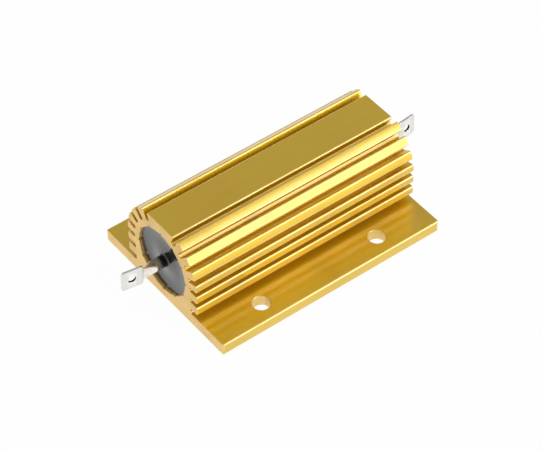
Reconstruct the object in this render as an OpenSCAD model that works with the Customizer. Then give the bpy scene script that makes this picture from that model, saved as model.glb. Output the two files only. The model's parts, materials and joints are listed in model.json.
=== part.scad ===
// Aluminium-housed wirewound power resistor, made to be bolted to a heatsink.
// X runs along the housing and Z is up. The origin is the middle of the mounting face.

/* [Housing] */
// Length of the extruded housing
housing_length = 65.2; // [60:0.1:100]
// Height of the flat top above the mounting face
housing_height = 24.1; // [23.6:0.1:24.8]
// Width of the finned body, and of the round crown on it
body_width = 27.6; // [27.2:0.1:29]
// Height of the crown's axis above the mounting face
crown_height = 12.4; // [12:0.1:12.8]

/* [Flange] */
// Width across the mounting flange
flange_width = 47.5; // [44:0.1:70]
// Thickness of the mounting flange
flange_thickness = 3.25; // [2.8:0.05:3.4]
// Radius of the flange's four upright corners
flange_corner_radius = 0.6; // [0.2:0.1:2]
// Radius of the flange's long top edges
flange_edge_radius = 0.4; // [0.1:0.1:0.8]
// Diameter of the mounting holes
mount_hole_diameter = 4.4; // [3:0.1:5.5]
// Distance between mounting holes along the housing
mount_hole_spacing_x = 35; // [20:0.5:50]
// Distance between mounting holes across the housing
mount_hole_spacing_y = 37; // [35:0.5:38]

/* [Bore] */
// Height of the bore's axis above the mounting face
bore_height = 11.8; // [11.6:0.1:12]
// Diameter of the bore
bore_diameter = 18.3; // [17:0.1:18.8]
// Number of keying grooves round the bore
key_count = 12; // [4:1:16]
// Width of each keying groove
key_width = 0.8; // [0.4:0.1:1.2]
// Depth of each keying groove
key_depth = 0.35; // [0.2:0.05:0.5]

/* [Cooling gaps] */
// Width of the gap that lies on the flange
root_gap_width = 1.7; // [1:0.05:1.8]
// Width of every other gap
gap_width = 1.45; // [1:0.05:1.6]
// Radius in the corners of the gaps' floors
gap_floor_radius = 0.5; // [0.1:0.05:0.7]
// Distance of the level gaps' floors from the middle plane
level_gap_floor = 10.9; // [10.4:0.1:12]
// Number of level gaps above the root gap, on each side
level_gap_count = 2; // [1:1:2]
// Height of the first of them above the flange
level_gap_rise = 4.75; // [4.4:0.05:4.9]
// Distance between level gaps
level_gap_pitch = 3.7; // [3.4:0.05:3.75]
// Number of radial gaps on each side of the crown
radial_gap_count = 4; // [2:1:4]
// Angle of the lowest radial gap above level
radial_gap_start = 14.8; // [14:0.2:16]
// Angle between radial gaps
radial_gap_pitch = 16.2; // [15:0.1:16.4]
// Distance of the radial gaps' floors from the bore's axis
radial_gap_floor = 10.9; // [10.4:0.1:12]
// Radius on the fins' outer edges
tip_radius = 0.4; // [0.1:0.05:0.45]

/* [Moulding] */
// Depth of the moulding's end faces inside the housing
moulding_recess = 0.9; // [0.2:0.1:3]
// Gap left between the moulding and what it touches
moulding_clearance = 0.02; // [0.01:0.01:0.1]
// Distance by which the collar round each pin stands past the pin
collar_width = 0.35; // [0.2:0.05:1.5]
// Height of that collar above the moulding's end face
collar_height = 0.3; // [0.1:0.05:0.8]

/* [Element] */
// Diameter of the ceramic core
core_diameter = 11; // [8:0.5:13]
// Length of the ceramic core
core_length = 51; // [40:1:52]
// Chamfer on the core's ends
core_chamfer = 0.4; // [0.1:0.1:1]
// Wall of the end caps
cap_wall = 0.6; // [0.3:0.1:1]
// Depth to which the end caps grip the core
cap_depth = 5.5; // [4:0.5:8]
// Gap between the core and the caps' walls
cap_clearance = 0.03; // [0.01:0.01:0.1]
// Diameter of the resistance wire
wire_diameter = 0.8; // [0.4:0.1:1]
// Distance between the winding's turns
wire_pitch = 2; // [1.6:0.1:3]
// Gap between the winding and what it lies on
wire_clearance = 0.05; // [0.03:0.01:0.1]

/* [Terminals] */
// Length over both terminals
overall_length = 88; // [86:0.5:130]
// Diameter of the terminal pins
pin_diameter = 3.1; // [2.4:0.1:4]
// Diameter of the pins' heads, which are welded to the caps
head_diameter = 5; // [4.4:0.1:8]
// Thickness of the pins' heads
head_thickness = 0.8; // [0.4:0.1:1.5]
// Height of the neck between pin and tab
neck_height = 3.5; // [3.2:0.1:4.5]
// Length over which the round pin is flattened
neck_length = 2.5; // [2:0.1:5]
// Length of each tab
tab_length = 5.6; // [4:0.1:9]
// Height of each tab
tab_height = 6.2; // [4.8:0.1:8]
// Thickness of each tab
tab_thickness = 0.6; // [0.5:0.1:1.5]
// Radius of the tabs' corners
tab_corner_radius = 0.7; // [0.2:0.1:1.5]
// Diameter of the wire hole in each tab
tab_hole_diameter = 2; // [1:0.1:3]
// Distance from the tab's end to the hole's middle
tab_hole_inset = 2.7; // [1.8:0.1:3]
// Distance of the flattened neck from the pin's axis, towards the front
neck_offset = 0.9; // [0:0.05:1.1]
// Angle by which the neck is then bent back, at the left and at the right
neck_bend = [9, 6]; // [0:1:12]
// Angle by which the neck is twisted, at the left and at the right
neck_twist = [4, 0]; // [-12:1:12]

/* [Hidden] */

body_half = body_width / 2;
bore_axis = [0, bore_height];
crown_axis = [0, crown_height];

cap_outer_radius = core_diameter / 2 + cap_clearance + cap_wall;
cap_face = core_length / 2 + cap_clearance + cap_wall; // outer face of a cap, from the middle
cap_rim = core_length / 2 - cap_depth;                 // inner rim of a cap, from the middle
moulding_face = housing_length / 2 - moulding_recess;

// The winding is one wire of straight stretches along a helix. Near each end it climbs onto the cap.
turn_steps = 20;     // stretches in each turn
wire_sides = 6;      // sides of the wire's section
climb_turns = 0.5;   // turns in which it climbs
landing_turns = 0.8; // turns that lie on each cap
slack = 1 / cos(180 / turn_steps); // lets the middle of each stretch clear what it lies on
winding_radius = slack * (core_diameter / 2 + wire_clearance + wire_diameter / 2);
landing_radius = slack * (cap_outer_radius + wire_clearance + wire_diameter / 2);
cavity_radius = landing_radius + wire_diameter / 2 + wire_clearance;
climb_pitch = 1.5 * wire_pitch;
level_end = cap_rim - wire_diameter - climb_turns * climb_pitch; // where the climb starts, from the middle
level_turns = 2 * level_end / wire_pitch;
total_turns = level_turns + 2 * (climb_turns + landing_turns);
wire_steps = round(total_turns * turn_steps);

crossing = 0.001; // how far a rounding circle crosses the faces that it would otherwise only touch
lap = 0.03;       // how far a flattened neck sinks into the pin and the tab that it joins

function along(a) = [cos(a), sin(a)];
function across(a) = [-sin(a), cos(a)];

// ---- fins: each gap is cut from the blank, and rounds the two fin edges at its mouth ----

// Middle of the circle that rounds a fin's edge. A gap's wall runs from p0 in direction a.
// It lies tip_radius inside the side, the crown or the flat top, whichever the line meets first.
function tip_middle(p0, a) =
    let (
        inner = body_half - tip_radius,
        to_side = (inner - p0[0]) / along(a)[0],
        to_top = (housing_height - tip_radius - p0[1]) / max(along(a)[1], 0.001),
        q = p0 - crown_axis,
        b = q * along(a),
        to_crown = -b + sqrt(b * b - q * q + inner * inner),
        beside = (p0 + to_side * along(a))[1] <= crown_height
    )
    p0 + (beside ? to_side : min(to_crown, to_top)) * along(a);

// Direction in which the blank's surface faces at such a circle
function tip_normal(m) =
    m[1] <= crown_height ? [1, 0]
    : m[1] > housing_height - tip_radius - 0.001 ? [0, 1]
    : (m - crown_axis) / norm(m - crown_axis);

// What rounding takes off the fin's edge on one side of a gap (side = 1 above it, -1 below it)
module tip_cut(start, a, width, side) {
    m = tip_middle(start + side * (width / 2 + tip_radius) * across(a), a);
    in_gap = m - side * 1.5 * tip_radius * across(a);
    beyond = 3 * tip_radius;
    difference() {
        polygon([m, in_gap, in_gap + beyond * along(a), m + beyond * tip_normal(m)]);
        translate(m) circle(r = tip_radius + crossing, $fn = 48);
    }
}

// One gap: start is a point on its middle line, floor_at the floor's distance from there
module gap(start, a, floor_at, width, rounded = [-1, 1]) {
    reach = body_width;
    step = width / 2 - gap_floor_radius;
    translate(start) rotate(a) translate([floor_at, 0]) {
        translate([gap_floor_radius, -width / 2]) square([reach, width]);
        translate([0, -step]) square([2 * gap_floor_radius, 2 * step]);
        for (s = [-1, 1])
            translate([gap_floor_radius, s * step]) circle(r = gap_floor_radius, $fn = 48);
    }
    for (s = rounded)
        tip_cut(start, a, width, s);
}

module gaps_on_one_side() {
    gap([0, flange_thickness + root_gap_width / 2], 0, level_gap_floor, root_gap_width, [1]);
    for (i = [0 : level_gap_count - 1])
        gap([0, flange_thickness + level_gap_rise + i * level_gap_pitch], 0, level_gap_floor, gap_width);
    for (i = [0 : radial_gap_count - 1])
        gap(bore_axis, radial_gap_start + i * radial_gap_pitch, radial_gap_floor, gap_width);
}

module body_outline() {
    intersection() {
        union() {
            translate(crown_axis) circle(r = body_half, $fn = 180);
            translate([-body_half, 0]) square([body_width, crown_height]);
        }
        translate([-body_half, 0]) square([body_width, housing_height]);
    }
}

module flange_outline() {
    half = flange_width / 2;
    translate([-half, 0]) square([flange_width, flange_thickness - flange_edge_radius]);
    translate([flange_edge_radius - half, 0]) square([flange_width - 2 * flange_edge_radius, flange_thickness]);
    for (s = [-1, 1])
        translate([s * (half - flange_edge_radius), flange_thickness - flange_edge_radius])
            circle(r = flange_edge_radius, $fn = 48);
}

// The bore with its keying grooves, made smaller all round by inset
module bore_outline(inset = 0) {
    translate(bore_axis) {
        circle(d = bore_diameter - 2 * inset, $fn = 180);
        for (k = [0 : key_count - 1])
            rotate(k * 360 / key_count)
                translate([0, inset - key_width / 2])
                    square([bore_diameter / 2 + key_depth - inset, key_width - 2 * inset]);
    }
}

// Stands a drawing of the housing's section up and runs it along X
module run_along_x(length) {
    rotate([90, 0, 90]) linear_extrude(length, center = true) children();
}

module on_bore_axis(x = 0) {
    translate([x, 0, bore_height]) rotate([0, 90, 0]) children();
}

module housing_outline() {
    difference() {
        union() {
            flange_outline();
            difference() {
                body_outline();
                gaps_on_one_side();
                mirror([1, 0]) gaps_on_one_side();
            }
        }
        bore_outline();
    }
}

module flange_plan() {
    linear_extrude(2 * housing_height) {
        inner = [housing_length, flange_width] - 2 * flange_corner_radius * [1, 1];
        square([inner[0], flange_width], center = true);
        square([housing_length, inner[1]], center = true);
        for (sx = [-1, 1], sy = [-1, 1])
            translate([sx * inner[0], sy * inner[1]] / 2) circle(r = flange_corner_radius, $fn = 48);
    }
}

// ---- sub-parts ----

module housing() {
    color([0.80, 0.62, 0.22]) difference() {
        intersection() {
            run_along_x(housing_length) housing_outline();
            flange_plan();
        }
        for (sx = [-1, 1], sy = [-1, 1])
            translate([sx * mount_hole_spacing_x, sy * mount_hole_spacing_y, -2] / 2)
                cylinder(d = mount_hole_diameter, h = flange_thickness + 2, $fn = 64);
    }
}

module moulding() {
    hole_radius = pin_diameter / 2 + moulding_clearance;
    color([0.16, 0.15, 0.15]) difference() {
        union() {
            run_along_x(2 * moulding_face) bore_outline(moulding_clearance);
            for (s = [-1, 1])
                on_bore_axis() mirror([0, 0, s < 0 ? 1 : 0]) translate([0, 0, moulding_face])
                    cylinder(r1 = hole_radius + collar_width, r2 = hole_radius + collar_width / 2,
                             h = collar_height, $fn = 64);
        }
        on_bore_axis() {
            cylinder(r = hole_radius, h = overall_length, center = true, $fn = 64);
            cylinder(r = head_diameter / 2 + moulding_clearance,
                     h = 2 * (cap_face + head_thickness + moulding_clearance), center = true, $fn = 64);
            cylinder(r = cavity_radius, h = 2 * (cap_face + moulding_clearance), center = true, $fn = 96);
        }
    }
}

module core() {
    shank = core_length - 2 * core_chamfer;
    color([0.93, 0.91, 0.86]) on_bore_axis() {
        cylinder(d = core_diameter, h = shank, center = true, $fn = 96);
        for (s = [0, 1])
            mirror([0, 0, s]) translate([0, 0, shank / 2])
                cylinder(r1 = core_diameter / 2, r2 = core_diameter / 2 - core_chamfer,
                         h = core_chamfer, $fn = 96);
    }
}

// The wire's middle line, by turns t from the middle of the winding
function helix_radius(t) =
    let (climbed = min(1, max(0, (abs(t) - level_turns / 2) / climb_turns)))
    winding_radius + (landing_radius - winding_radius) * climbed;
function helix_x(t) =
    let (level = min(abs(t), level_turns / 2))
    sign(t) * (level * wire_pitch + (abs(t) - level) * climb_pitch);
function helix_point(t) = [helix_x(t), helix_radius(t) * cos(360 * t), helix_radius(t) * sin(360 * t)];

// The wire's section there, square to the wire
function wire_ring(t) =
    let (
        p = helix_point(t),
        d = helix_point(t + 0.01) - helix_point(t - 0.01),
        f = d / norm(d),
        out = [0, cos(360 * t), sin(360 * t)],
        u = (out - (out * f) * f) / norm(out - (out * f) * f),
        v = cross(f, u)
    )
    [for (k = [0 : wire_sides - 1])
        p + wire_diameter / 2 * (cos(360 * k / wire_sides) * u + sin(360 * k / wire_sides) * v)];

module winding() {
    points = [
        for (i = [0 : wire_steps])
            each wire_ring((i / wire_steps - 0.5) * total_turns)
    ];
    n = wire_sides;
    sides = [
        for (i = [0 : wire_steps - 1], k = [0 : n - 1])
            each [
                [i * n + k, (i + 1) * n + (k + 1) % n, i * n + (k + 1) % n],
                [i * n + k, (i + 1) * n + k, (i + 1) * n + (k + 1) % n]
            ]
    ];
    ends = [[for (k = [0 : n - 1]) k], [for (k = [0 : n - 1]) wire_steps * n + n - 1 - k]];
    color([0.72, 0.45, 0.30]) translate([0, 0, bore_height]) polyhedron(points, concat(sides, ends));
}

module cap() {
    color([0.62, 0.63, 0.65]) on_bore_axis(cap_rim) difference() {
        cylinder(r = cap_outer_radius, h = cap_face - cap_rim, $fn = 96);
        translate([0, 0, -1])
            cylinder(r = cap_outer_radius - cap_wall, h = cap_face - cap_rim - cap_wall + 1, $fn = 96);
    }
}

module left_cap() { mirror([1, 0, 0]) cap(); }
module right_cap() { cap(); }

// Distance along X from the start of a bent and twisted neck to its tab's rounded end
function reach(bend, twist) =
    let (
        rise = abs(sin(twist)) * sin(bend),
        r = tab_corner_radius
    )
    (neck_length + tab_length - r) * cos(bend) + (tab_height / 2 - r) * rise
    + r * norm([cos(bend), rise]) + tab_thickness / 2 * cos(twist) * sin(bend);

// A terminal on the +X side: a round pin with a welded head, a flattened neck and a tab
module terminal(bend, twist) {
    pin_end = overall_length / 2 - reach(bend, twist);
    color([0.86, 0.86, 0.85]) translate([0, 0, bore_height]) {
        rotate([0, 90, 0]) translate([0, 0, cap_face]) {
            cylinder(d = head_diameter, h = head_thickness, $fn = 64);
            cylinder(d = pin_diameter, h = pin_end - cap_face, $fn = 64);
        }
        translate([pin_end, 0, 0]) {
            hull() {
                rotate([0, 90, 0]) translate([0, 0, -lap])
                    cylinder(d = pin_diameter - 2 * lap, h = lap, $fn = 48);
                translate([0, -neck_offset, 0]) rotate([twist, 0, bend]) translate([neck_length, 0, 0])
                    cube([1, tab_thickness - 2 * lap, neck_height], center = true);
            }
            translate([0, -neck_offset, 0]) rotate([twist, 0, bend]) rotate([90, 0, 0])
                linear_extrude(tab_thickness, center = true) tab_outline();
        }
    }
}

module tab_outline() {
    inner = [tab_length, tab_height] - 2 * tab_corner_radius * [1, 1];
    difference() {
        translate([neck_length + tab_length / 2, 0]) {
            square([inner[0], tab_height], center = true);
            square([tab_length, inner[1]], center = true);
            for (sx = [-1, 1], sz = [-1, 1])
                translate([sx * inner[0], sz * inner[1]] / 2) circle(r = tab_corner_radius, $fn = 48);
        }
        translate([neck_length + tab_length - tab_hole_inset, 0]) circle(d = tab_hole_diameter, $fn = 64);
    }
}

module left_terminal() { mirror([1, 0, 0]) terminal(neck_bend[0], neck_twist[0]); }
module right_terminal() { terminal(neck_bend[1], neck_twist[1]); }

housing();
moulding();
core();
winding();
left_cap();
right_cap();
left_terminal();
right_terminal();
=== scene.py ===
import json
import math

import bmesh
import bpy
import numpy as np
from mathutils import Euler, Matrix, Vector
from mathutils.geometry import delaunay_2d_cdt
from mathutils.kdtree import KDTree


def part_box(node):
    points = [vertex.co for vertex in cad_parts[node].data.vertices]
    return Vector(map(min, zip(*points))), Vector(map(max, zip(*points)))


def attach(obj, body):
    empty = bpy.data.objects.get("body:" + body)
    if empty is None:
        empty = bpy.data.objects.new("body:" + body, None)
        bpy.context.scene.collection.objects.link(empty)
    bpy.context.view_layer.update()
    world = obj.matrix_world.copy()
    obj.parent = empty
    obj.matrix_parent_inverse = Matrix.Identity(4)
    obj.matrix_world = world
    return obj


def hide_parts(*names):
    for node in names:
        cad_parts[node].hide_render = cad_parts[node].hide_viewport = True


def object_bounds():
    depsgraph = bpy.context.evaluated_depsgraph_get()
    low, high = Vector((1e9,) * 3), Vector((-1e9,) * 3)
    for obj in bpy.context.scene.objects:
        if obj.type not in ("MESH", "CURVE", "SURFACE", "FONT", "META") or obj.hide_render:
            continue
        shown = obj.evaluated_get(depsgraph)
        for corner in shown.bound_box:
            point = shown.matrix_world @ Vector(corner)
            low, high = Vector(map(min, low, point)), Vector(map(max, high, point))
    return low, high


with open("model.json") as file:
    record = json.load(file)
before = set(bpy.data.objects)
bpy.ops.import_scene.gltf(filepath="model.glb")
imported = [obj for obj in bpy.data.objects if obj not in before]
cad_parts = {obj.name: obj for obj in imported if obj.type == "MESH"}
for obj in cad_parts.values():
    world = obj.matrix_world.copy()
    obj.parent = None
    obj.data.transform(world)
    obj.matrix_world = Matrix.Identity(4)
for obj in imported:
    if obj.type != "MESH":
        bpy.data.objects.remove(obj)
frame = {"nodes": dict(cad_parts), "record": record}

bl_info = {
    "name": "Aluminium Housed Resistor",
    "version": (1, 0, 0),
    "blender": (4, 5, 0),
    "location": "View3D > Sidebar > Resistor",
    "description": "A finned, gold-anodised power resistor with solder tabs, on a pale stage",
    "category": "Object",
}

MM = 0.001
CAD_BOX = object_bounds()


def low(node):
    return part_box(node)[0]


def high(node):
    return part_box(node)[1]


def mount(name):
    """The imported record's mount of that name."""
    return next(m for m in frame["record"]["mounts"] if m["name"] == name)


def in_mm(name, description, default):
    return bpy.props.FloatProperty(
        name=name, description=description, default=default * MM, min=0, unit="LENGTH", subtype="DISTANCE", precision=5
    )


def colour_of(name, description, default):
    return bpy.props.FloatVectorProperty(
        name=name, description=description, default=default, min=0, max=1, size=3, subtype="COLOR"
    )


def share_of(name, description, default):
    return bpy.props.FloatProperty(
        name=name, description=description, default=default, min=0, max=1, subtype="FACTOR"
    )


def count_of(name, description, default):
    return bpy.props.IntProperty(name=name, description=description, default=default, min=1)


def in_degrees(name, description, degrees):
    return bpy.props.FloatProperty(
        name=name, description=description, default=math.radians(degrees), unit="ROTATION", subtype="ANGLE"
    )


# ---- sizes and colours


class HousingSettings(bpy.types.PropertyGroup):
    """The finned extrusion: its section, its sawn ends, its drilled holes and its finish"""

    length: in_mm("Length", "Length of the extrusion", (high("housing").x - low("housing").x) / MM)
    flange_width: in_mm("Flange width", "Width over the flange", (high("housing").y - low("housing").y) / MM)
    height: in_mm("Height", "From the mounting face to the flat top", high("housing").z / MM)
    flange_thickness: in_mm("Flange thickness", "Thickness of the flange", 3.25)
    flange_edge_radius: in_mm("Flange edge radius", "Rounding of its upper edges", 0.4)
    foot_radius: in_mm("Foot radius", "Rounding of its lower edges", 0.3)
    flange_corner_radius: in_mm("Flange corner radius", "Rounding of the flange's four corners", 0.6)
    body_width: in_mm("Body width", "Width over the fins", 27.6)
    crown_height: in_mm("Crown height", "Height of the rounded back's middle", 12.4)
    bore_height: in_mm("Bore height", "Height of the bore's middle", 11.8)
    bore_diameter: in_mm("Bore diameter", "Diameter of the bore", 18.3)
    key_count: count_of("Keys", "Grooves round the bore", 12)
    key_width: in_mm("Key width", "Width of a groove in the bore", 0.8)
    key_depth: in_mm("Key depth", "Depth of a groove in the bore", 0.35)
    root_gap_width: in_mm("Root gap", "Width of the gap over the flange", 1.7)
    gap_width: in_mm("Gap width", "Width of the other gaps", 1.45)
    gap_floor: in_mm("Gap floor", "From the middle to a gap's floor", 10.9)
    gap_floor_radius: in_mm("Gap floor radius", "Rounding in the corners of a gap's floor", 0.5)
    level_gap_rise: in_mm("Level gap rise", "From the flange's top to the first level gap", 4.75)
    level_gap_pitch: in_mm("Level gap pitch", "From one level gap to the next", 3.7)
    level_gap_count: count_of("Level gaps", "Level gaps on each side", 2)
    radial_gap_start: in_degrees("First radial gap", "Slope of the lowest radial gap", 14.8)
    radial_gap_pitch: in_degrees("Radial gap pitch", "From one radial gap to the next", 16.2)
    radial_gap_count: count_of("Radial gaps", "Radial gaps on each side", 4)
    tip_radius: in_mm("Fin edge radius", "Rounding of the fins' edges", 0.4)
    burr: in_mm("Edge break", "How far the sawn ends' edges are broken", 0.08)
    hole_chamfer: in_mm("Hole chamfer", "How far the drilled holes' rims are broken", 0.15)
    dye: colour_of("Dye", "Colour of the dyed oxide on the drawn faces", (0.80, 0.535, 0.014))
    dye_deep: colour_of("Deep dye", "Colour where the dye took more strongly", (0.75, 0.485, 0.008))
    bright_edge: colour_of("Bright edge", "Colour of the rubbed edges", (1.0, 0.80, 0.36))
    sawn: colour_of("Sawn face", "Colour of the sawn and anodised ends", (0.93, 0.63, 0.19))
    roughness: share_of("Roughness", "Roughness of the drawn faces", 0.47)
    sawn_roughness: share_of("Sawn roughness", "Roughness of the sawn ends", 0.62)
    oxide: share_of("Oxide gloss", "Strength of the clear oxide's own gloss", 1.0)


class MouldingSettings(bpy.types.PropertyGroup):
    """The dark filling that seals the bore round the pins"""

    clearance: in_mm("Clearance", "Space between the filling and the bore", 0.02)
    collar_width: in_mm("Collar width", "Width of the raised collar's foot round a pin", 0.35)
    collar_height: in_mm("Collar height", "Height of the collar", 0.3)
    meniscus: in_mm("Meniscus", "How far the filling climbs at the bore's wall", 0.14)
    dish: in_mm("Dish", "How far the face sinks between the collar and the wall", 0.26)
    colour: colour_of("Colour", "Colour of the filling", (0.012, 0.0105, 0.0105))
    dust: colour_of("Dust", "Colour of the fine dust on it", (0.16, 0.14, 0.13))
    roughness: share_of("Roughness", "Roughness of its cast face", 0.1)


class TerminalSettings(bpy.types.PropertyGroup):
    """The round pins, their flattened necks and the solder tabs"""

    pin_diameter: in_mm("Pin diameter", "Diameter of the round pins", 3.1)
    head_diameter: in_mm("Head diameter", "Diameter of the welded heads", 5)
    head_thickness: in_mm("Head thickness", "Thickness of the welded heads", 0.8)
    neck_length: in_mm("Neck length", "Length of the flattened neck", 2.5)
    press_lead: in_mm("Press lead", "How far before the neck the pin starts to flatten", 1)
    neck_height: in_mm("Neck height", "Height where the neck meets the tab", 3.5)
    neck_offset: in_mm("Neck offset", "How far the flattened neck lies off the pin's middle", 0.9)
    tab_length: in_mm("Tab length", "Length of the tab", 5.6)
    tab_height: in_mm("Tab height", "Height of the tab", 6.2)
    tab_thickness: in_mm("Tab thickness", "Thickness of the tab", 0.6)
    tab_corner: in_mm("Tab corner radius", "Rounding of the tab's corners", 0.7)
    hole_diameter: in_mm("Tab hole", "Diameter of the hole in the tab", 2 * mount("left_tab_hole")["dims"]["r_mm"])
    hole_inset: in_mm("Hole inset", "From the tab's end to the middle of its hole", 2.7)
    sheared_edge: in_mm("Sheared edge", "Rounding of the tab's punched edges", 0.1)
    left_bend: in_degrees("Left bend", "How far the left tab is bent sideways", 9)
    left_twist: in_degrees("Left twist", "How far the left tab is twisted", 4)
    right_bend: in_degrees("Right bend", "How far the right tab is bent sideways", 6)
    right_twist: in_degrees("Right twist", "How far the right tab is twisted", 0)
    tin: colour_of("Tin", "Colour of the tinned faces", (0.95, 0.93, 0.90))
    # painted shade: the colour given to the necks' bends and the tabs' shoulders
    painted_bend_shade: colour_of("Painted bend shade", "Colour of the tarnish in the bends", (0.50, 0.45, 0.41))
    # painted reflection: the near-black colour on the pins' roots stands in for the dark filling mirrored in them
    painted_dark: colour_of("Painted dark", "Colour of the filling's film on the pin's root", (0.045, 0.04, 0.04))
    roughness: share_of("Roughness", "Roughness of the tinned faces", 0.22)


class InnerSettings(bpy.types.PropertyGroup):
    """The parts inside the filling: the rod, its wire and its end caps"""

    ceramic: colour_of("Ceramic", "Colour of the fired rod", (0.84, 0.81, 0.74))
    wire: colour_of("Wire", "Colour of the resistance wire", (0.62, 0.47, 0.38))
    steel: colour_of("Steel", "Colour of the end caps", (0.56, 0.57, 0.58))


class StageSettings(bpy.types.PropertyGroup):
    """The pale floor, the soft light and the camera"""

    floor_colour: colour_of("Floor", "Colour of the floor", (0.93, 0.93, 0.93))
    floor_white: share_of("White floor", "How white the camera sees the floor, beside its own shading", 0.97)
    surround: bpy.props.FloatProperty(name="Surround", description="Strength of the pale surround", default=0.8, min=0)
    back_shade: share_of("Back shade", "How much the far side above is dimmed", 0.46)
    key_power: bpy.props.FloatProperty(
        name="Key power", description="Power of the large lamp in front", default=1.5, min=0, unit="POWER"
    )
    key_width: in_mm("Key width", "Width of that lamp", 220)
    key_distance: in_mm("Key distance", "From the part's middle to the lamp's ends", 700)
    key_foot_azimuth: in_degrees("Key foot azimuth", "Which way the lamp's lower end stands", 23)
    key_foot_elevation: in_degrees("Key foot elevation", "How high the lamp's lower end stands", 2)
    key_head_azimuth: in_degrees("Key head azimuth", "Which way the lamp's upper end stands", 41)
    key_head_elevation: in_degrees("Key head elevation", "How high the lamp's upper end stands", 50)
    azimuth: in_degrees("Azimuth", "Which way the camera looks", -36.696)
    elevation: in_degrees("Elevation", "How far the camera looks down", 46.086)
    roll: in_degrees("Roll", "How far the camera leans", -0.968)
    distance: in_mm("Distance", "From the camera to the part's middle", 587.294)
    side: bpy.props.FloatProperty(name="Side step", description="Sideways aim", default=-0.674 * MM, unit="LENGTH")
    rise: bpy.props.FloatProperty(name="Rise", description="Upward aim", default=2.293 * MM, unit="LENGTH")
    lens: bpy.props.FloatProperty(name="Lens", description="Focal length in millimetres", default=160.865, min=1)


# ---- meshes


def add_object(name, data):
    item = bpy.data.objects.new(name, data)
    bpy.context.scene.collection.objects.link(item)
    return item


def closed_mesh(name, points, faces):
    """A mesh whose faces all look outwards."""
    mesh = bpy.data.meshes.new(name)
    mesh.from_pydata([tuple(p) for p in points], [], [tuple(f) for f in faces])
    tidy = bmesh.new()
    tidy.from_mesh(mesh)
    bmesh.ops.recalc_face_normals(tidy, faces=tidy.faces)
    if tidy.calc_volume(signed=True) < 0:
        bmesh.ops.reverse_faces(tidy, faces=tidy.faces)
    tidy.to_mesh(mesh)
    tidy.free()
    return mesh


def new_piece(name, points, faces, materials, slot, stands_for):
    """A mesh object that rides on the part and stands for one of its solids."""
    mesh = closed_mesh(name, points, faces)
    for material in materials:
        mesh.materials.append(material)
    piece = add_object(name, mesh)
    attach(piece, "root")
    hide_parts(stands_for)
    return piece


def cut(piece, cutters):
    """Takes the cutters' solids out of the piece, and removes the cutters."""
    for cutter in cutters:
        mesh = closed_mesh("cutter", *cutter)
        tool = add_object("cutter", mesh)
        step = piece.modifiers.new("cut", "BOOLEAN")
        step.operation = "DIFFERENCE"
        step.solver = "EXACT"
        step.object = tool
        bpy.context.view_layer.update()
        finished = bpy.data.meshes.new_from_object(piece.evaluated_get(bpy.context.evaluated_depsgraph_get()))
        piece.modifiers.clear()
        old = piece.data
        piece.data = finished
        bpy.data.meshes.remove(old)
        bpy.data.objects.remove(tool)
        bpy.data.meshes.remove(mesh)
    piece.data.name = piece.name


def shade(piece, sharp_degrees=28):
    """Smooth shading that keeps the flat faces flat."""
    piece.data.shade_smooth()
    piece.data.set_sharp_from_angle(angle=math.radians(sharp_degrees))
    even = piece.modifiers.new("even_shading", "WEIGHTED_NORMAL")
    even.keep_sharp = True


def mark(piece, name, values):
    """Stores one number for each vertex, for the finish to read."""
    layer = piece.data.attributes.get(name) or piece.data.attributes.new(name, "FLOAT", "POINT")
    layer.data.foreach_set("value", np.asarray(values, np.float32))


def vertex_places(piece):
    places = np.zeros(len(piece.data.vertices) * 3, np.float32)
    piece.data.vertices.foreach_get("co", places)
    return places.reshape(-1, 3).astype(float)


def tube_of_loops(loops, closed_round=False):
    """Quads between loops of equal length. closed_round joins the last loop to the first."""
    count = len(loops[0])
    points = [p for loop in loops for p in loop]
    faces = []
    for i in range(len(loops) if closed_round else len(loops) - 1):
        a, b = i * count, (i + 1) % len(loops) * count
        for k in range(count):
            n = (k + 1) % count
            faces.append((a + k, a + n, b + n, b + k))
    return points, faces


def capped_tube(loops):
    """A tube of loops, closed by its first and last loop."""
    points, faces = tube_of_loops(loops)
    count = len(loops[0])
    return points, faces + [tuple(range(count)), tuple(range(len(points) - count, len(points)))]


def turned(middle, axis, profile, steps=64):
    """A solid turned round an axis: profile is (radius, distance along the axis) from one end to the other."""
    axis = Vector(axis).normalized()
    u = axis.orthogonal().normalized()
    v = axis.cross(u)
    turns = [2 * math.pi * k / steps for k in range(steps)]
    ways = [math.cos(a) * u + math.sin(a) * v for a in turns]
    return capped_tube([[Vector(middle) + axis * at + radius * way for way in ways] for radius, at in profile])


def drill(middle, axis, radius, depth, chamfer, steps=64):
    """A drill that goes depth deep from middle along the axis and breaks both rims."""
    over = 0.4 * MM
    profile = [
        (radius + chamfer + over, -over),
        (radius, chamfer),
        (radius, depth - chamfer),
        (radius + chamfer + over, depth + over),
    ]
    return turned(middle, axis, profile, steps)


# ---- the extrusion's section


def along(angle):
    return np.array([math.cos(angle), math.sin(angle)])


def across(angle):
    return np.array([-math.sin(angle), math.cos(angle)])


def bearing(direction):
    return math.atan2(direction[1], direction[0])


def arc(middle, radius, start, end, steps):
    return [np.asarray(middle) + radius * along(start + (end - start) * i / steps) for i in range(steps + 1)]


def fin_edge(s, start, angle, width, side):
    """Middle of the circle that rounds the fin beside a gap, and the way the blank faces there."""
    inner = s.body_width / 2 - s.tip_radius
    crown = np.array([0, s.crown_height])
    p = start + side * (width / 2 + s.tip_radius) * across(angle)
    to_side = (inner - p[0]) / along(angle)[0]
    to_top = (s.height - s.tip_radius - p[1]) / max(along(angle)[1], 0.001)
    q = p - crown
    b = q @ along(angle)
    to_crown = -b + math.sqrt(b * b - q @ q + inner * inner)
    beside = (p + to_side * along(angle))[1] <= s.crown_height
    middle = p + (to_side if beside else min(to_crown, to_top)) * along(angle)
    if middle[1] <= s.crown_height:
        return middle, np.array([1.0, 0.0])
    if middle[1] > s.height - s.tip_radius - 1e-6:
        return middle, np.array([0.0, 1.0])
    return middle, (middle - crown) / np.linalg.norm(middle - crown)


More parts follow.
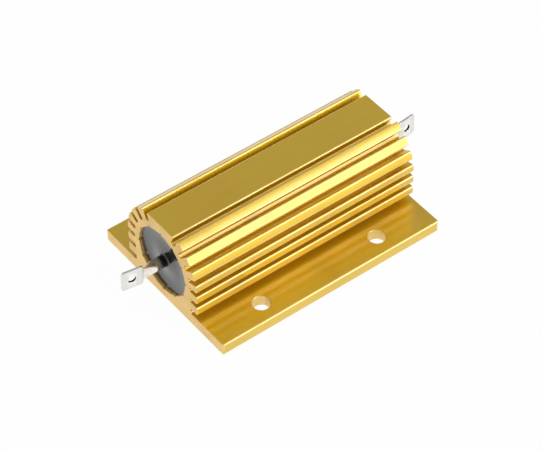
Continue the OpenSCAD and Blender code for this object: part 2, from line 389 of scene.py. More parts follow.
def gaps(s):
    """Each gap on the right as (start of its middle line, slope, width), from the flange up."""
    found = [(np.array([0, s.flange_thickness + s.root_gap_width / 2]), 0.0, s.root_gap_width)]
    for i in range(s.level_gap_count):
        height = s.flange_thickness + s.level_gap_rise + i * s.level_gap_pitch
        found.append((np.array([0, height]), 0.0, s.gap_width))
    for i in range(s.radial_gap_count):
        found.append((np.array([0, s.bore_height]), s.radial_gap_start + i * s.radial_gap_pitch, s.gap_width))
    return found


def right_half(s):
    """The section's right half from the foot to the flat top, as (y, z, worn, deep) rows."""
    rows = []

    def add(points, worn=0.0, deep=0.0):
        for p in points:
            if not rows or math.dist(rows[-1][:2], p) > 1e-6:
                rows.append((p[0], p[1], worn, deep))

    half = s.flange_width / 2
    softened = s.foot_radius
    add([np.array([half - 1.6 * softened, 0])])
    add(arc([half - softened, softened], softened, -math.pi / 2, 0, 6), 0.7)
    r = s.flange_edge_radius
    add([np.array([half, 1.6 * softened]), np.array([half, s.flange_thickness - 1.5 * r])])
    add(arc([half - r, s.flange_thickness - r], r, 0, math.pi / 2, 8), 1.0)
    add([np.array([half - 1.6 * r, s.flange_thickness])])

    step = 0.18 * MM
    previous = None
    for start, angle, width in gaps(s):
        below, below_faces = fin_edge(s, start, angle, width, -1)
        above, above_faces = fin_edge(s, start, angle, width, 1)
        if previous is not None:
            add(outer_face(s, previous, (below, below_faces)))
            add(arc(below, s.tip_radius, bearing(below_faces), angle + math.pi / 2, 8), 1.0)
            add([below + s.tip_radius * across(angle) - step * along(angle)], 0.0, 0.1)
        f = s.gap_floor_radius
        side = width / 2 - f
        floor = start + (s.gap_floor + f) * along(angle)
        # the last number here is how deep in the gap a point lies, which the finish turns into painted shade
        add([floor - (width / 2) * across(angle) + 1.3 * f * along(angle)], 0.0, 0.35)
        add([floor - side * across(angle) + f * along(-t + angle) for t in np.linspace(math.pi / 2, math.pi, 6)], 0, 1)
        add([floor + side * across(angle) + f * along(t + angle) for t in np.linspace(math.pi, math.pi / 2, 6)], 0, 1)
        add([floor + (width / 2) * across(angle) + 1.3 * f * along(angle)], 0.0, 0.35)
        add([above - s.tip_radius * across(angle) - step * along(angle)], 0.0, 0.1)
        add(arc(above, s.tip_radius, angle - math.pi / 2, bearing(above_faces), 8), 1.0)
        previous = (above, above_faces)
    add([previous[0] + s.tip_radius * previous[1] - np.array([step, 0])])
    return rows


def outer_face(s, lower, upper):
    """The fin's outer face between two rounded edges. It follows the blank's side and crown."""
    step = 0.18 * MM
    crown = np.array([0, s.crown_height])
    first = lower[0] + s.tip_radius * lower[1]
    last = upper[0] + s.tip_radius * upper[1]
    if last[1] <= s.crown_height:
        return [first + np.array([0, step]), last - np.array([0, step])]
    begin = bearing(first - crown) if first[1] > s.crown_height else 0.0
    end = bearing(last - crown)
    inset = step / (s.body_width / 2)
    points = [first + np.array([0, step])] if first[1] <= s.crown_height else []
    return points + arc(crown, s.body_width / 2, begin + (0 if points else inset), end - inset, 6)


def section(s):
    """The whole section, counter-clockwise, as rows of (y, z, worn, deep)."""
    right = right_half(s)
    left = [(-y, z, worn, deep) for y, z, worn, deep in reversed(right)]
    return np.array(right + left)


def bore_outline(s, inset=0.0, spacing=math.radians(2.5)):
    """The bore with its keying grooves, made smaller all round by inset, as (y, z) rows round its middle."""
    radius = s.bore_diameter / 2 - inset
    side = s.key_width / 2 - inset
    end = s.bore_diameter / 2 + s.key_depth - inset
    opening = math.asin(side / radius)
    rows = []
    for k in range(s.key_count):
        turn = 2 * math.pi * k / s.key_count
        for u, v in ((end, -side), (end, 0), (end, side)):
            rows.append(u * along(turn) + v * across(turn))
        first, last = turn + opening, turn + 2 * math.pi / s.key_count - opening
        rows += arc([0, 0], radius, first, last, max(2, round((last - first) / spacing)))
    return np.array(rows)


def offset(outline, distance):
    """Moves a counter-clockwise outline's corners outwards by distance, square to its sides."""
    before = outline - np.roll(outline, 1, axis=0)
    after = np.roll(outline, -1, axis=0) - outline
    normals = []
    for side in (before, after):
        side = side / np.maximum(np.linalg.norm(side, axis=1, keepdims=True), 1e-12)
        normals.append(np.stack([side[:, 1], -side[:, 0]], axis=1))
    both = normals[0] + normals[1]
    return outline + distance * both / np.maximum(1 + (normals[0] * normals[1]).sum(1, keepdims=True), 0.2)


def flat_ring(outer, inner):
    """Triangles that fill the flat face between an outer and an inner outline, as indices into both."""
    loops = [np.array(outer) / MM, np.array(inner) / MM]
    points = np.concatenate(loops)
    sides = [(i, (i + 1) % len(outer)) for i in range(len(outer))]
    sides += [(len(outer) + i, len(outer) + (i + 1) % len(inner)) for i in range(len(inner))]
    found = delaunay_2d_cdt([Vector(p) for p in points], sides, [], 0, 1e-6)
    original = [ids[0] for ids in found[3]]
    start = np.concatenate(loops)
    end = np.concatenate([np.roll(loop, -1, axis=0) for loop in loops])
    triangles = []
    for face in found[2]:
        corners = [original[i] for i in face]
        y, z = points[corners].mean(0)
        spans = (start[:, 1] > z) != (end[:, 1] > z)
        a, b = start[spans], end[spans]
        crossings = a[:, 0] + (z - a[:, 1]) * (b[:, 0] - a[:, 0]) / (b[:, 1] - a[:, 1])
        if (crossings > y).sum() % 2:
            triangles.append(corners)
    return triangles


# ---- finishes


class Nodes:
    """Adds nodes to a tree and joins them up."""

    def __init__(self, tree):
        self.nodes, self.links = tree.nodes, tree.links

    def first(self, kind):
        return next(n for n in self.nodes if n.type == kind)

    def join(self, value, socket):
        if isinstance(value, bpy.types.NodeSocket):
            self.links.new(value, socket)
        elif hasattr(value, "__len__") and len(value) == 3 and socket.type == "RGBA":
            socket.default_value = (*value, 1)
        else:
            socket.default_value = value

    def add(self, kind, **inputs):
        """A new node, with those of its inputs set or linked."""
        node = self.nodes.new("ShaderNode" + kind)
        for name, value in inputs.items():
            self.join(value, node.inputs[name.replace("_", " ")])
        return node

    def between(self, value, start, end):
        """0 up to start, 1 from end, and smooth between."""
        node = self.add("MapRange", Value=value, From_Min=start, From_Max=end)
        node.interpolation_type = "SMOOTHSTEP"
        return node.outputs["Result"]

    def maths(self, operation, a, b):
        node = self.add("Math")
        node.operation = operation
        self.join(a, node.inputs[0])
        self.join(b, node.inputs[1])
        return node.outputs[0]

    def times(self, a, b):
        return self.maths("MULTIPLY", a, b)

    def sum_of(self, *values):
        total = values[0]
        for value in values[1:]:
            total = self.maths("ADD", total, value)
        return total

    def blend(self, share, a, b):
        """Colour a where share is 0 and colour b where it is 1."""
        node = self.add("Mix")
        node.data_type = "RGBA"
        self.join(share, node.inputs["Factor"])
        for name, value in (("A", a), ("B", b)):
            self.join(value, next(i for i in node.inputs if i.name == name and i.type == "RGBA"))
        return next(o for o in node.outputs if o.type == "RGBA")

    def either(self, share, a, b, output):
        """Ends the tree in shader a where share is 0 and in shader b where it is 1."""
        node = self.add("MixShader", Fac=share)
        self.links.new(a.outputs[0], node.inputs[1])
        self.links.new(b.outputs[0], node.inputs[2])
        self.links.new(node.outputs[0], output.inputs["Surface"])


class Finish(Nodes):
    """A material, built up from noises that follow the part's own coordinates."""

    def __init__(self, name):
        self.material = bpy.data.materials.new(name)
        self.material.use_nodes = True
        super().__init__(self.material.node_tree)
        self.shader = self.first("BSDF_PRINCIPLED")
        self.place = self.add("TexCoord").outputs["Object"]

    def stretched(self, x, y, z):
        """The part's coordinates, with each axis scaled."""
        return self.add("Mapping", Scale=(x, y, z), Vector=self.place).outputs["Vector"]

    def noise(self, scale, detail=3.0, place=None, roughness=0.55, distortion=0.0):
        plain = {"Scale": scale, "Detail": detail, "Roughness": roughness, "Distortion": distortion}
        return self.add("TexNoise", Vector=place or self.place, **plain).outputs["Fac"]

    def specks(self, scale, size):
        """Small round spots: 1 in a spot, 0 elsewhere."""
        distance = self.add("TexVoronoi", Vector=self.place, Scale=scale).outputs["Distance"]
        return self.between(distance, size, size * 0.4)

    def mark(self, name):
        """The number that the piece's vertices carry under that name."""
        node = self.add("Attribute")
        node.attribute_name = name
        return node.outputs["Fac"]

    def relief(self, *layers):
        """A bump from (height, depth in metres) layers, one on the other."""
        normal = None
        for height, depth in layers:
            node = self.add("Bump", Strength=1.0, Distance=depth, Height=height)
            if normal is not None:
                self.links.new(normal, node.inputs["Normal"])
            normal = node.outputs["Normal"]
        return normal

    def finish(self, colour, roughness, normal, **plain):
        self.join(colour, self.shader.inputs["Base Color"])
        self.join(roughness, self.shader.inputs["Roughness"])
        self.links.new(normal, self.shader.inputs["Normal"])
        for name, value in plain.items():
            self.shader.inputs[name.replace("_", " ").title().replace("Ior", "IOR")].default_value = value
        return self.material


def shaded(colour, share):
    """The colour made darker, or brighter, by that share."""
    return tuple(min(1, c * share) for c in colour)


def drawn_anodised(s):
    """The extrusion's own faces: dyed oxide over fine die lines that run along the length, with painted shade in the
    gaps' floors.
    """
    f = Finish("drawn_anodised")
    patches = f.noise(70, 3, f.stretched(0.5, 1, 1), 0.5)
    smudge = f.between(f.noise(90, 4, f.stretched(0.7, 1, 1), 0.55, 0.5), 0.50, 0.72)
    die_lines = f.noise(1, 3, f.stretched(14, 5200, 5200), 0.6)
    broad_lines = f.noise(1, 2, f.stretched(8, 1150, 1150), 0.5)
    grain = f.noise(9000, 3)
    worn = f.mark("worn")
    deep = f.mark("deep")
    colour = f.blend(f.between(patches, 0.3, 0.75), s.dye, s.dye_deep)
    colour = f.blend(f.times(f.between(broad_lines, 0.45, 0.7), 0.35), colour, s.dye_deep)
    colour = f.blend(f.times(smudge, 0.2), colour, (0.50, 0.315, 0.012))
    rubbed = f.times(f.between(worn, 0.35, 1.0), f.between(f.noise(500, 3, f.stretched(0.15, 1, 1)), 0.1, 0.75))
    colour = f.blend(f.times(rubbed, 0.55), colour, s.bright_edge)
    # painted shade: where the deep mark is high, in the gaps' floors, the colour goes to a darker orange-gold
    colour = f.blend(f.times(f.between(deep, 0.2, 1.0), 0.4), colour, (0.66, 0.43, 0.01))
    roughness = f.sum_of(s.roughness - 0.07, f.times(die_lines, 0.1), f.times(smudge, 0.09), f.times(grain, 0.06))
    roughness = f.maths("SUBTRACT", roughness, f.times(rubbed, 0.06))
    normal = f.relief((die_lines, 0.0000022), (broad_lines, 0.000006), (grain, 0.0000012))
    return f.finish(
        colour, roughness, normal, metallic=0.9, coat_weight=s.oxide, coat_roughness=0.16, coat_ior=1.7
    )


def sawn_anodised(s):
    """The sawn ends: the same dye on a matt face with fine saw lines."""
    f = Finish("sawn_anodised")
    saw_lines = f.noise(1, 3, f.stretched(300, 260, 5200), 0.6, 0.15)
    grain = f.noise(7000, 4)
    patches = f.noise(230, 4)
    worn = f.mark("worn")
    colour = f.blend(f.between(patches, 0.35, 0.7), s.sawn, shaded(s.sawn, 0.86))
    colour = f.blend(f.times(f.between(saw_lines, 0.42, 0.68), 0.25), colour, (0.80, 0.50, 0.12))
    colour = f.blend(f.times(f.between(worn, 0.2, 1.0), 0.6), colour, s.bright_edge)
    roughness = f.sum_of(s.sawn_roughness - 0.1, f.times(saw_lines, 0.12), f.times(grain, 0.1))
    normal = f.relief((saw_lines, 0.00001), (grain, 0.000006))
    return f.finish(
        colour, roughness, normal, metallic=0.88, coat_weight=s.oxide, coat_roughness=0.5, coat_ior=1.6
    )


def cast_filling(s):
    """The dark filling: a smooth cast face with faint flow marks, a little dust, and painted shade at the bore's wall
    and faintly round the pins' collars.
    """
    f = Finish("cast_filling")
    cloud = f.noise(420, 4)
    flow = f.noise(260, 2, None, 0.4, 0.8)
    grain = f.noise(5200, 3)
    dust = f.times(f.specks(1500, 0.16), f.between(f.noise(500, 2), 0.5, 0.72))
    rim = f.between(f.mark("rim"), 0.3, 1.0)
    colour = f.blend(f.between(cloud, 0.35, 0.7), s.colour, shaded(s.colour, 1.5))
    colour = f.blend(f.times(dust, 0.7), colour, s.dust)
    # painted shade: darker towards the bore's wall, and faintly round the pins' collars
    colour = f.blend(f.times(rim, 0.35), colour, shaded(s.colour, 0.35))
    roughness = f.sum_of(s.roughness - 0.05, f.times(cloud, 0.1), f.times(dust, 0.35))
    normal = f.relief((flow, 0.000012), (grain, 0.0000015))
    return f.finish(
        colour, roughness, normal, metallic=0.0, ior=1.6, coat_weight=0.3, coat_roughness=0.07, coat_ior=1.5
    )


def tinned(s):
    """The tinned terminals: bright rolled metal, duller and with painted shade in the bends, and a near-black painted
    reflection of the filling on the pins' roots.
    """
    f = Finish("tinned")
    rolled = f.noise(1, 3, f.stretched(420, 3800, 1500), 0.6)
    ripples = f.noise(700, 3, None, 0.5, 0.4)
    grain = f.noise(8000, 3)
    scratches = f.between(f.noise(1, 4, f.stretched(900, 2600, 9000), 0.7), 0.60, 0.70)
    worn = f.mark("worn")
    bend = f.mark("bend")
    # painted shade: darker, duller tin along the pressed neck and in the crease at the tab's shoulder
    painted_dark = f.times(f.between(bend, 0.1, 0.9), f.between(f.noise(420, 2), 0.3, 0.75))
    colour = f.blend(f.between(rolled, 0.3, 0.7), s.tin, shaded(s.tin, 0.88))
    colour = f.blend(f.times(painted_dark, 0.4), colour, s.painted_bend_shade)
    colour = f.blend(f.times(scratches, 0.3), colour, shaded(s.tin, 0.6))
    colour = f.blend(f.times(f.between(worn, 0.4, 1.0), 0.35), colour, (0.62, 0.60, 0.58))
    # painted reflection: the pin's root by the filling is painted near-black for the dark filling it mirrors, which
    # also darkens its image in the filling's face
    painted_reflection = f.between(f.sum_of(f.mark("root"), f.times(f.noise(900, 2), 0.4)), 0.4, 0.95)
    colour = f.blend(painted_reflection, colour, s.painted_dark)
    roughness = f.sum_of(s.roughness - 0.06, f.times(rolled, 0.08), f.times(painted_dark, 0.2), f.times(grain, 0.06))
    normal = f.relief((rolled, 0.000004), (ripples, 0.000018), (scratches, 0.000003))
    return f.finish(colour, roughness, normal, metallic=1.0)


def fired_ceramic(s):
    """The rod: pale, matt and slightly porous."""
    f = Finish("fired_ceramic")
    pores = f.specks(2600, 0.2)
    cloud = f.noise(330, 4)
    grain = f.noise(6000, 3)
    colour = f.blend(f.between(cloud, 0.3, 0.7), s.ceramic, shaded(s.ceramic, 0.86))
    colour = f.blend(f.times(pores, 0.5), colour, (0.45, 0.41, 0.36))
    roughness = f.sum_of(0.6, f.times(grain, 0.2))
    height = f.sum_of(f.times(grain, 0.5), f.maths("SUBTRACT", 1.0, pores))
    return f.finish(colour, roughness, f.relief((height, 0.00001)), metallic=0.0)


def bare_metal(name, colour, aged, ageing, bright, bright_share, die_lines, smooth):
    """Drawn or pressed metal. ageing is (scale, detail, start, end) of the patches where it has aged."""
    f = Finish(name)
    lines = f.noise(1, 3, f.stretched(*die_lines), 0.6)
    scale, detail, start, end = ageing
    patches = f.noise(scale, detail)
    grain = f.noise(8000, 2)
    mixed = f.blend(f.between(patches, start, end), colour, aged)
    mixed = f.blend(f.times(lines, bright_share), mixed, bright)
    roughness = f.sum_of(smooth, f.times(lines, 0.14), f.times(grain, 0.08))
    return f.finish(mixed, roughness, f.relief((lines, 0.000004)), metallic=1.0)


def drawn_wire(s):
    """The resistance wire, browned by heat in places."""
    brown = (0.34, 0.25, 0.22)
    heat = (260, 3, 0.35, 0.68)
    return bare_metal("drawn_wire", s.wire, brown, heat, shaded(s.wire, 1.25), 0.3, (6000, 700, 700), 0.28)


def pressed_steel(s):
    """The end caps: pressed sheet with draw lines and dull spots."""
    dull = (0.36, 0.35, 0.34)
    bright = (0.72, 0.72, 0.72)
    return bare_metal("pressed_steel", s.steel, dull, (600, 5, 0.4, 0.75), bright, 0.25, (260, 5200, 5200), 0.3)


# ---- the pieces


class RESISTOR_OT_housing(bpy.types.Operator):
    """Extrude the finned housing, saw it off, drill it and anodise it"""

    bl_idname = "resistor.housing"
    bl_label = "Housing"

    def execute(self, context):
        s = context.scene.resistor_housing
        rows = section(s)
        outline = rows[:, :2]
        bore = bore_outline(s) + [0, s.bore_height]
        end = s.length / 2
        lead = 0.12 * MM  # flat rings that keep the broken edge crisp
        stations = [(end - s.burr - lead, 0.0), (end - s.burr, 0.0), (end, s.burr), (end, s.burr + lead)]
        stations = [(-x, inset) for x, inset in reversed(stations)] + stations
        outer = [[(x, y, z) for y, z in offset(outline, -inset)] for x, inset in stations]
        inner = [[(x, y, z) for y, z in offset(bore, inset)] for x, inset in stations]
        points, faces = tube_of_loops(outer)
        more, more_faces = tube_of_loops(inner)
        first_inner = len(points)
        points += more
        faces += [tuple(first_inner + i for i in face) for face in more_faces]
        for station in (0, len(stations) - 1):
            index = [station * len(outline) + i for i in range(len(outline))]
            index += [first_inner + station * len(bore) + i for i in range(len(bore))]
            rings = [[p[1:] for p in loops[station]] for loops in (outer, inner)]
            faces += [tuple(index[i] for i in triangle) for triangle in flat_ring(*rings)]
        piece = new_piece(
            "housing_extrusion", points, faces, [drawn_anodised(s), sawn_anodised(s)], "anodised_aluminium", "housing"
        )
        cut(piece, self.corner_cutters(s) + self.drills(s))
        self.mark_wear(piece, s, rows)
        for face in piece.data.polygons:
            in_bore = math.hypot(face.center.y, face.center.z - s.bore_height) < s.bore_diameter / 2 + 1.1 * s.key_depth
            face.material_index = 1 if abs(face.normal.x) > 0.9 or in_bore else 0
        shade(piece)
        return {"FINISHED"}

    def drills(self, s):
        return [
            drill((*middle, 0), (0, 0, 1), radius, s.flange_thickness, s.hole_chamfer)
            for middle, radius in self.mounting_holes()
        ]

    def mounting_holes(self):
        """Each hole's middle in plan, and its radius."""
        pattern = mount("mounting_holes")["dims"]
        x, y = pattern["spacing_x_mm"] * MM / 2, pattern["spacing_y_mm"] * MM / 2
        return [((sx * x, sy * y), pattern["hole_r_mm"] * MM) for sx in (-1, 1) for sy in (-1, 1)]

    def corner_cutters(self, s):
        """What rounds the flange's four corners in plan."""
        r = s.flange_corner_radius
        x, y = s.length / 2, s.flange_width / 2
        over = 1 * MM
        plan = arc([x - r, y - r], r, math.radians(-8), math.radians(98), 12)
        plan += [np.array([plan[-1][0], y + over]), np.array([x + over, y + over]), np.array([x + over, plan[0][1]])]
        levels = (-over, s.flange_thickness + 0.6 * MM)
        return [
            capped_tube([[(sx * p[0], sy * p[1], z) for p in plan] for z in levels]) for sx in (-1, 1) for sy in (-1, 1)
        ]

    def mark_wear(self, piece, s, rows):
        """Marks the rubbed edges and the gaps' depths, from the section that the vertices lie on. The depths drive
        painted shade in the gaps' floors.
        """
        nearest = KDTree(len(rows))
        for i, (y, z, _, _) in enumerate(rows):
            nearest.insert((y, z, 0), i)
        nearest.balance()
        places = vertex_places(piece)
        worn, deep = np.zeros(len(places)), np.zeros(len(places))
        for i, (x, y, z) in enumerate(places):
            _, row, away = nearest.find((y, z, 0))
            if away < 0.05 * MM:
                worn[i], deep[i] = rows[row][2], rows[row][3]
            from_end = s.length / 2 - abs(x)
            if from_end < 1.05 * s.burr and away < 1.6 * s.burr:
                worn[i] = 1.0
        for middle, radius in self.mounting_holes():
            worn[np.linalg.norm(places[:, :2] - middle, axis=1) < radius + 0.3 * s.hole_chamfer] = 0.8
        mark(piece, "worn", worn)
        mark(piece, "deep", deep)


class RESISTOR_OT_moulding(bpy.types.Operator):
    """Cast the dark filling in the bore, with a collar round each pin"""

    bl_idname = "resistor.moulding"
    bl_label = "Filling"

    def execute(self, context):
        s = context.scene.resistor_moulding
        h = context.scene.resistor_housing
        t = context.scene.resistor_terminals
        outline = bore_outline(h, s.clearance, math.radians(2))
        reach = np.linalg.norm(outline, axis=1)
        directions = outline / reach[:, None]
        face = high("moulding").x - s.collar_height
        hole = t.pin_diameter / 2 + s.clearance
        count = len(outline)
        # each ring is (radii, x, rim); rim drives the filling's painted shade: up to 1 at the bore's wall, 0.5 on the
        # collars, 0 in the cavity
        right = [(np.full(count, radius), np.full(count, x), 0.0) for radius, x in self.cavity(s, t, hole)]
        collar_foot = hole + s.collar_width
        face_start = collar_foot + 0.15 * MM
        for radius, lift in (
            (hole, s.collar_height - 0.05 * MM),
            (hole + 0.05 * MM, s.collar_height),
            (hole + 0.14 * MM, s.collar_height - 0.02 * MM),
            (hole + 0.24 * MM, 0.55 * s.collar_height),
            (collar_foot, 0.12 * s.collar_height),
            (face_start, 0.0),
        ):
            right.append((np.full(count, radius), np.full(count, face + lift), 0.5))
        wall = h.bore_diameter / 2 - s.clearance
        for share in np.linspace(0.06, 1.0, 22):
            radius = face_start + share * (wall - face_start)
            to_wall = wall - radius
            sunk = s.dish * math.sin(math.pi * share) ** 1.3
            climb = s.meniscus * math.exp(-to_wall / (0.4 * MM))
            rim = max(0.0, 1 - to_wall / (0.5 * MM))
            right.append((np.minimum(radius, reach), np.full(count, face - sunk + climb), rim))
        right.append((reach - 0.001 * MM, np.full(count, face + s.meniscus), 1.0))
        right.append((reach, np.full(count, face + s.meniscus - 0.06 * MM), 1.0))
        left = [(radii, -x, rim) for radii, x, rim in reversed(right)]
        loops = [
            [(x_k, r * d[0], h.bore_height + r * d[1]) for r, x_k, d in zip(radii, x, directions)]
            for radii, x, _ in right + left
        ]
        rims = [rim for _, _, rim in right + left]
        points, faces = tube_of_loops(loops, closed_round=True)
        piece = new_piece("cast_filling", points, faces, [cast_filling(s)], "silicone", "moulding")
        mark(piece, "rim", np.repeat(rims, count))
        shade(piece, 40)
        return {"FINISHED"}

    def cavity(self, s, t, hole):
        """The space for the wound rod and the pins' heads, as (radius, x) from the middle outwards."""
        widest = (high("winding").z - low("winding").z) / 2 + 0.05 * MM
        cap_face = high("right_cap").x
        head = t.head_diameter / 2 + s.clearance
        head_end = cap_face + t.head_thickness + s.clearance
        return [(widest, cap_face + s.clearance), (head, cap_face + s.clearance), (head, head_end), (hole, head_end)]


class RESISTOR_OT_terminals(bpy.types.Operator):
    """Press and punch the two terminals"""

    bl_idname = "resistor.terminals"
    bl_label = "Terminals"

    def execute(self, context):
        s = context.scene.resistor_terminals
        finish = tinned(s)
        self.terminal(context, s, "left", -1, s.left_bend, s.left_twist, finish)
        self.terminal(context, s, "right", 1, s.right_bend, s.right_twist, finish)
        return {"FINISHED"}

    def terminal(self, context, s, side, sign, bend, twist, finish):
        centre_height = context.scene.resistor_housing.bore_height
        solid = f"{side}_terminal"
        tip = max(abs(low(solid).x), abs(high(solid).x))
        pin_end = tip - self.reach(s, bend, twist)
        turn = Euler((twist, 0, bend), "XYZ").to_matrix()
        tab_origin = Vector((pin_end, -s.neck_offset, 0))
        press_start = pin_end - s.press_lead
        radius = s.pin_diameter / 2
        stations = []  # (middle, turn, half thickness, half height, corner radius, worn, bend)
        cap_face, seal = high("right_cap").x, high("moulding").x
        head, head_end, rim = s.head_diameter / 2, cap_face + s.head_thickness, 0.1 * MM
        for x, r in (
            (cap_face, head - rim),
            (cap_face + rim, head),
            (head_end - rim, head),
            (head_end, head - rim),
            (head_end, radius + 0.12 * MM),
            (head_end + 0.15 * MM, radius),
            (seal - 0.5 * MM, radius),
            (seal + 0.4 * MM, radius),
            (press_start - 0.3 * MM, radius),
        ):
            stations.append((Vector((x, 0, 0)), Matrix.Identity(3), r, r, r, 0.0, 0.0))
        steps = 18
        neck_end = tab_origin + turn @ Vector((s.neck_length, 0, 0))
        for i in range(steps):
            share = i / steps
            soft = share * share * (3 - 2 * share)
            pressed = 1 - (1 - share) ** 1.6
            at = Vector((press_start, 0, 0)).lerp(neck_end, share)
            at.y = (soft * neck_end.y + at.y) / 2
            thin = radius + (s.tab_thickness / 2 - radius) * pressed
            tall = radius + (s.neck_height / 2 - radius) * soft
            corner = min(thin, tall) * (1 - 0.55 * pressed)
            tilt = Euler((twist * soft, 0, bend * soft), "XYZ").to_matrix()
            stations.append((at, tilt, thin, tall, corner, 0.0, math.sin(math.pi * min(1, share * 1.1))))
        half = s.tab_height / 2
        r = s.tab_corner
        edge = s.sheared_edge
        start, end = s.neck_length, s.neck_length + s.tab_length
        corner_turns = np.linspace(0.0, math.pi / 2, 9)
        shoulder = start + 0.04 * MM
        flare = [(start, s.neck_height / 2)]
        flare += [(shoulder + r * (1 - math.cos(a)), half - r + r * math.sin(a)) for a in corner_turns]
        flare += [(start + s.tab_length * k / 8, half) for k in range(2, 7)]
        flare += [(end - r + r * math.sin(a), half - r + r * math.cos(a)) for a in corner_turns[:-1]]
        for u, tall in flare:
            closing = min(1.0, (end - u) / edge)
            thin = s.tab_thickness / 2 - edge + edge * math.sqrt(max(0.0, 1 - (1 - closing) ** 2))
            worn = 1.0 if end - u < 0.12 * MM else 0.0
            crease = max(0.0, 1 - (u - start) / (0.8 * MM))
            at = tab_origin + turn @ Vector((u, 0, 0))
            stations.append((at, turn, thin, tall, min(edge, thin), worn, crease))
        at = tab_origin + turn @ Vector((end, 0, 0))
        stations.append((at, turn, s.tab_thickness / 2 - edge, half - r, 0.5 * edge, 1.0, 0.0))
        loops, worn, bent = [], [], []
        for at, tilt, thin, tall, corner, rub, crease in stations:
            loop = []
            for quarter in range(4):
                for k in range(9):
                    a = (quarter + k / 8) * math.pi / 2
                    cy = (thin - corner) * (1 if quarter in (0, 3) else -1)
                    cz = (tall - corner) * (1 if quarter in (0, 1) else -1)
                    p = at + tilt @ Vector((0, cy + corner * math.cos(a), cz + corner * math.sin(a)))
                    loop.append((sign * p.x, p.y, centre_height + p.z))
                    on_edge = corner < 0.6 * thin and tall > s.neck_height / 2 + 0.01 * MM
                    worn.append(max(rub, 1.0 if on_edge else 0.0))
                    bent.append(crease)
            loops.append(loop)
        piece = new_piece(f"{side}_terminal_pressing", *capped_tube(loops), [finish], "tinned_metal", solid)
        mark(piece, "worn", worn)
        mark(piece, "bend", bent)
        along_pin = np.abs(vertex_places(piece)[:, 0])
        # where that painted reflection lies: full up to 0.4 mm past the filling's face, gone by 1.9 mm
        mark(piece, "root", np.clip((seal + 1.9 * MM - along_pin) / (1.5 * MM), 0, 1))
        hole = tab_origin + turn @ Vector((end - s.hole_inset, -s.tab_thickness / 2, 0))
        hole = Vector((sign * hole.x, hole.y, centre_height + hole.z))
        axis = turn @ Vector((0, 1, 0))
        axis.x *= sign
        cut(piece, [drill(hole, axis, s.hole_diameter / 2, s.tab_thickness, 0.06 * MM, 48)])
        shade(piece, 35)

    def reach(self, s, bend, twist):
        """From the start of the neck to the tip of the tab, along the part's length."""
        rise = abs(math.sin(twist)) * math.sin(bend)
        r = s.tab_corner
        flat = (s.neck_length + s.tab_length - r) * math.cos(bend) + (s.tab_height / 2 - r) * rise
        return flat + r * math.hypot(math.cos(bend), rise) + s.tab_thickness / 2 * math.cos(twist) * math.sin(bend)


class RESISTOR_OT_inner_parts(bpy.types.Operator):
    """Finish the rod, its wire and its end caps, which the filling hides"""

    bl_idname = "resistor.inner_parts"
    bl_label = "Inner parts"

    def execute(self, context):
        s = context.scene.resistor_inner
        steel = pressed_steel(s)
        finishes = {"core": fired_ceramic(s), "winding": drawn_wire(s), "left_cap": steel, "right_cap": steel}
        for node, finish in finishes.items():
            for slot in frame["nodes"][node].material_slots:
                slot.material = finish
        return {"FINISHED"}


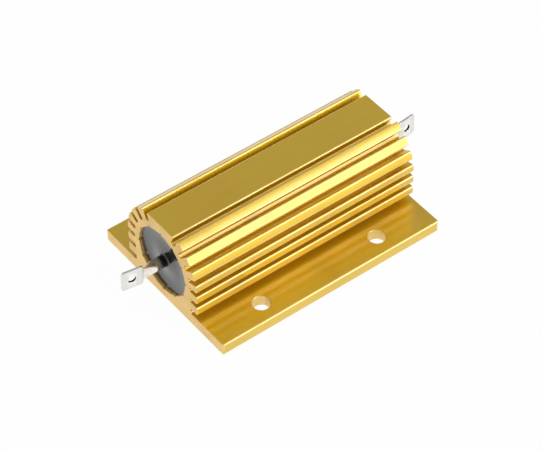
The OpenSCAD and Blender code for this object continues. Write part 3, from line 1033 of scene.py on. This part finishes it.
class RESISTOR_OT_stage(bpy.types.Operator):
    """Lay the pale floor, and set the light and the camera"""

    bl_idname = "resistor.stage"
    bl_label = "Stage"

    def execute(self, context):
        s = context.scene.resistor_stage
        self.floor(s)
        self.surround(context, s)
        self.key_lamp(s)
        self.camera(context, s)
        context.scene.view_settings.view_transform = "Standard"
        return {"FINISHED"}

    def floor(self, s):
        mesh = bpy.data.meshes.new("floor")
        reach = 3.0
        below = 0.02 * MM  # keeps the floor off the mounting face
        corners = [(-reach, -reach, 0), (reach, -reach, 0), (reach, reach, 0), (-reach, reach, 0)]
        mesh.from_pydata(corners, [], [(0, 1, 2, 3)])
        floor = add_object("floor", mesh)
        floor.location.z = CAD_BOX[0].z - below
        material = bpy.data.materials.new("pale_floor")
        material.use_nodes = True
        tree = Nodes(material.node_tree)
        paint = tree.first("BSDF_PRINCIPLED")
        paint.inputs["Base Color"].default_value = (*s.floor_colour, 1)
        paint.inputs["Roughness"].default_value = 0.9
        path = tree.add("LightPath").outputs
        seen = tree.maths("MAXIMUM", path["Is Camera Ray"], path["Is Glossy Ray"])
        white = tree.add("Emission", Strength=1.0)
        tree.either(tree.times(seen, s.floor_white), paint, white, tree.first("OUTPUT_MATERIAL"))
        mesh.materials.append(material)

    def surround(self, context, s):
        """A pale surround that is dimmer high up on the far side. The camera sees it plain white."""
        world = bpy.data.worlds.new("surround")
        context.scene.world = world
        world.use_nodes = True
        tree = Nodes(world.node_tree)
        tree.nodes.clear()
        way = tree.add("TexCoord").outputs["Generated"]

        def towards(direction, start, end):
            dot = tree.add("VectorMath")
            dot.operation = "DOT_PRODUCT"
            tree.join(way, dot.inputs[0])
            tree.join(Vector(direction).normalized(), dot.inputs[1])
            return tree.between(dot.outputs["Value"], start, end)

        overhead, far_side = (0, 0, 1), (0.41, 0.56, 0.72)
        colour = tree.blend(towards(overhead, 0.15, 0.85), (1.0, 1.0, 1.0), (0.88, 0.88, 0.88))
        colour = tree.blend(towards(far_side, 0.76, 0.97), colour, (1 - s.back_shade,) * 3)
        light = tree.add("Background", Color=colour, Strength=s.surround)
        white = tree.add("Background", Strength=1.0)
        path = tree.add("LightPath").outputs
        tree.either(path["Is Camera Ray"], light, white, tree.add("OutputWorld"))

    def key_lamp(self, s):
        """A tall soft lamp in front, leaning over towards the right."""
        foot, head = (
            s.key_distance * Vector((math.sin(a) * math.cos(e), -math.cos(a) * math.cos(e), math.sin(e)))
            for a, e in ((s.key_foot_azimuth, s.key_foot_elevation), (s.key_head_azimuth, s.key_head_elevation))
        )
        middle = (foot + head) / 2
        z, y = middle.normalized(), (head - foot).normalized()
        data = bpy.data.lights.new("key_lamp", "AREA")
        data.shape = "RECTANGLE"
        data.size = s.key_width
        data.size_y = (head - foot).length
        data.energy = s.key_power
        lamp = add_object("key_lamp", data)
        matrix = Matrix((y.cross(z), y, z)).transposed().to_4x4()
        matrix.translation = middle
        lamp.matrix_world = matrix

    def camera(self, context, s):
        a, e = s.azimuth, s.elevation
        back = Vector((math.sin(a) * math.cos(e), -math.cos(a) * math.cos(e), math.sin(e)))
        level = Vector((0, 0, 1)).cross(back).normalized()
        up = back.cross(level)
        x = math.cos(s.roll) * level + math.sin(s.roll) * up
        y = math.cos(s.roll) * up - math.sin(s.roll) * level
        data = bpy.data.cameras.new("camera")
        data.lens = s.lens
        data.sensor_width = 36
        data.clip_start = 0.01
        camera = add_object("camera", data)
        matrix = Matrix((x, y, back)).transposed().to_4x4()
        matrix.translation = x * s.side + y * s.rise + back * s.distance
        camera.matrix_world = matrix
        context.scene.camera = camera


# ---- panel and registration

STEPS = (
    RESISTOR_OT_housing,
    RESISTOR_OT_moulding,
    RESISTOR_OT_terminals,
    RESISTOR_OT_inner_parts,
    RESISTOR_OT_stage,
)

SETTINGS = {
    "resistor_housing": HousingSettings,
    "resistor_moulding": MouldingSettings,
    "resistor_terminals": TerminalSettings,
    "resistor_inner": InnerSettings,
    "resistor_stage": StageSettings,
}


class RESISTOR_PT_panel(bpy.types.Panel):
    """The steps that build the resistor, and the sizes and colours that they use"""

    bl_idname = "RESISTOR_PT_panel"
    bl_label = "Resistor"
    bl_space_type = "VIEW_3D"
    bl_region_type = "UI"
    bl_category = "Resistor"

    def draw(self, context):
        for step, settings_name in zip(STEPS, SETTINGS):
            box = self.layout.box()
            box.operator(step.bl_idname)
            settings = getattr(context.scene, settings_name)
            for name in settings.bl_rna.properties.keys():
                if name not in ("rna_type", "name"):
                    box.prop(settings, name)


def register():
    for name, settings in SETTINGS.items():
        bpy.utils.register_class(settings)
        setattr(bpy.types.Scene, name, bpy.props.PointerProperty(type=settings))
    for cls in (*STEPS, RESISTOR_PT_panel):
        bpy.utils.register_class(cls)


def unregister():
    for cls in (RESISTOR_PT_panel, *reversed(STEPS)):
        bpy.utils.unregister_class(cls)
    for name, settings in reversed(SETTINGS.items()):
        delattr(bpy.types.Scene, name)
        bpy.utils.unregister_class(settings)


def main():
    register()
    bpy.ops.resistor.housing()
    bpy.ops.resistor.moulding()
    bpy.ops.resistor.terminals()
    bpy.ops.resistor.inner_parts()
    bpy.ops.resistor.stage()


if __name__ == "__main__":
    main()
